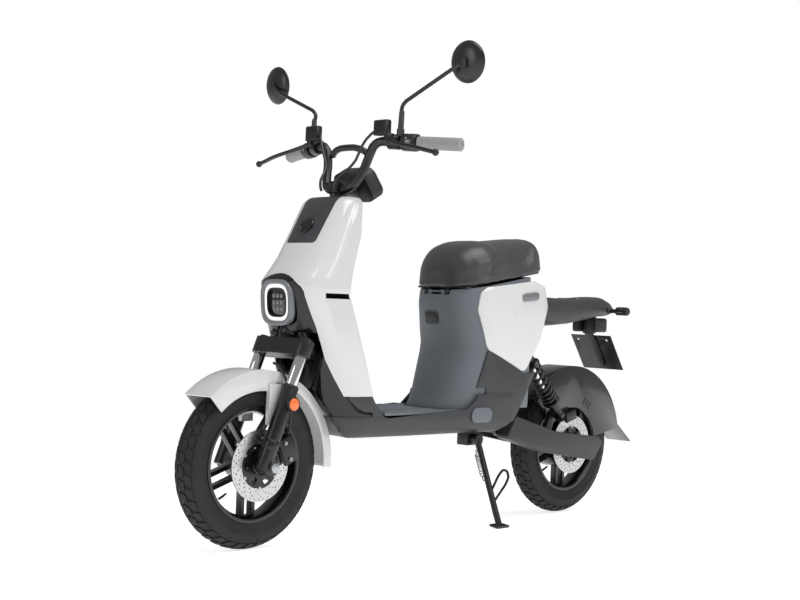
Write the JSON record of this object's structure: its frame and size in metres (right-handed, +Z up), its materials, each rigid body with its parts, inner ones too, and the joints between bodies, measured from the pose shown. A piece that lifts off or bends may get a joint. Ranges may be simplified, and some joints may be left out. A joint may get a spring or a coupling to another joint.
{
  "type": "electric moped",
  "caption": "Step-through electric moped on its side stand, with a turning fork, free wheels, a folding stand and a seat that tips up over its battery.",
  "frame": {"origin": "centre of the footprint of the bounding box, on the ground", "axes": "+X forward, +Y to the rider's left, +Z up; the moped itself leans 6 degrees to its left onto the stand"},
  "size_m": [1.5936, 0.7501, 1.1873],
  "materials": {
    "black_steel": "satin black powder coat",
    "white_gloss": "gloss white moulding",
    "black_gloss": "gloss black moulding",
    "lamp_bezel": "silver-grey painted bezel",
    "dark_plastic": "fine grained dark grey",
    "blue_grey_plastic": "fine grained blue-grey",
    "battery_case": "plain case",
    "red_lens": "red lens",
    "black_plastic": "matte black",
    "plate_blank": "blank",
    "chrome_steel": "polished",
    "bright_steel": "ground",
    "black_cast": "satin black casting",
    "black_alloy": "gloss black cast alloy",
    "orange_lens": "orange reflector",
    "grip_rubber": "light grey, moulded",
    "hose_rubber": "smooth",
    "tyre_rubber": "new tread",
    "seat_vinyl": "grained vinyl"
  },
  "bodies": {
    "frame": {"main_frame": "black_steel", "front_shell": "white_gloss", "nose_panel": "black_gloss", "headlight": "lamp_bezel", "emblem_panel": "dark_plastic", "inner_shield": "dark_plastic", "lower_body": "dark_plastic", "floorboard": "blue_grey_plastic", "seat_box": "blue_grey_plastic", "side_panels": "white_gloss", "side_caps": "blue_grey_plastic", "battery": "battery_case", "tail_cowl": "dark_plastic", "tail_light": "red_lens", "plate_bracket": "black_plastic", "number_plate": "plate_blank", "rear_turn_signals": "black_plastic", "rear_fender": "dark_plastic", "swingarm": "black_steel", "swingarm_cover": "dark_plastic", "shock_absorbers": "chrome_steel", "rear_axle": "bright_steel", "rear_caliper": "black_cast", "stand_bracket": "black_steel"},
    "fork": {"steering_stem": "black_steel", "fork_stanchions": "chrome_steel", "fork_sliders": "black_cast", "front_axle": "bright_steel", "front_fender": "white_gloss", "front_caliper": "black_cast", "fork_reflectors": "orange_lens", "handlebar": "black_steel", "grips": "grip_rubber", "brake_levers": "black_cast", "mirrors": "black_plastic", "display": "black_plastic", "brake_hoses": "hose_rubber"},
    "front_wheel": {"front_rim": "black_alloy", "front_tyre": "tyre_rubber", "front_disc": "bright_steel"},
    "rear_wheel": {"rear_rim": "black_alloy", "rear_tyre": "tyre_rubber", "rear_disc": "bright_steel"},
    "side_stand": {"side_stand": "black_steel"},
    "seat": {"seat_cushion": "seat_vinyl", "seat_base": "black_plastic"}
  },
  "joints": [
    {"name": "steering", "type": "hinge", "parent": "frame", "child": "fork", "pos_m": [0.61882, -0.09606, 0.19013], "axis": [-0.3746, 0.0969, 0.9221], "range_deg": [-40, 40]},
    {"name": "front_wheel_spin", "type": "hinge", "parent": "fork", "child": "front_wheel", "pos_m": [0.60582, -0.09606, 0.19013], "axis": [0, 0.9945, -0.1045], "continuous": true},
    {"name": "rear_wheel_spin", "type": "hinge", "parent": "frame", "child": "rear_wheel", "pos_m": [-0.51418, -0.09606, 0.19013], "axis": [0, 0.9945, -0.1045], "continuous": true},
    {"name": "stand_fold", "type": "hinge", "parent": "frame", "child": "side_stand", "pos_m": [-0.05818, -0.0007, 0.21732], "axis": [0, 0.9945, -0.1045], "range_deg": [0, 95]},
    {"name": "seat_tip", "type": "hinge", "parent": "frame", "child": "seat", "pos_m": [0.00582, -0.05341, 0.5959], "axis": [0, 0.9945, -0.1045], "range_deg": [0, 80]}
  ]
}
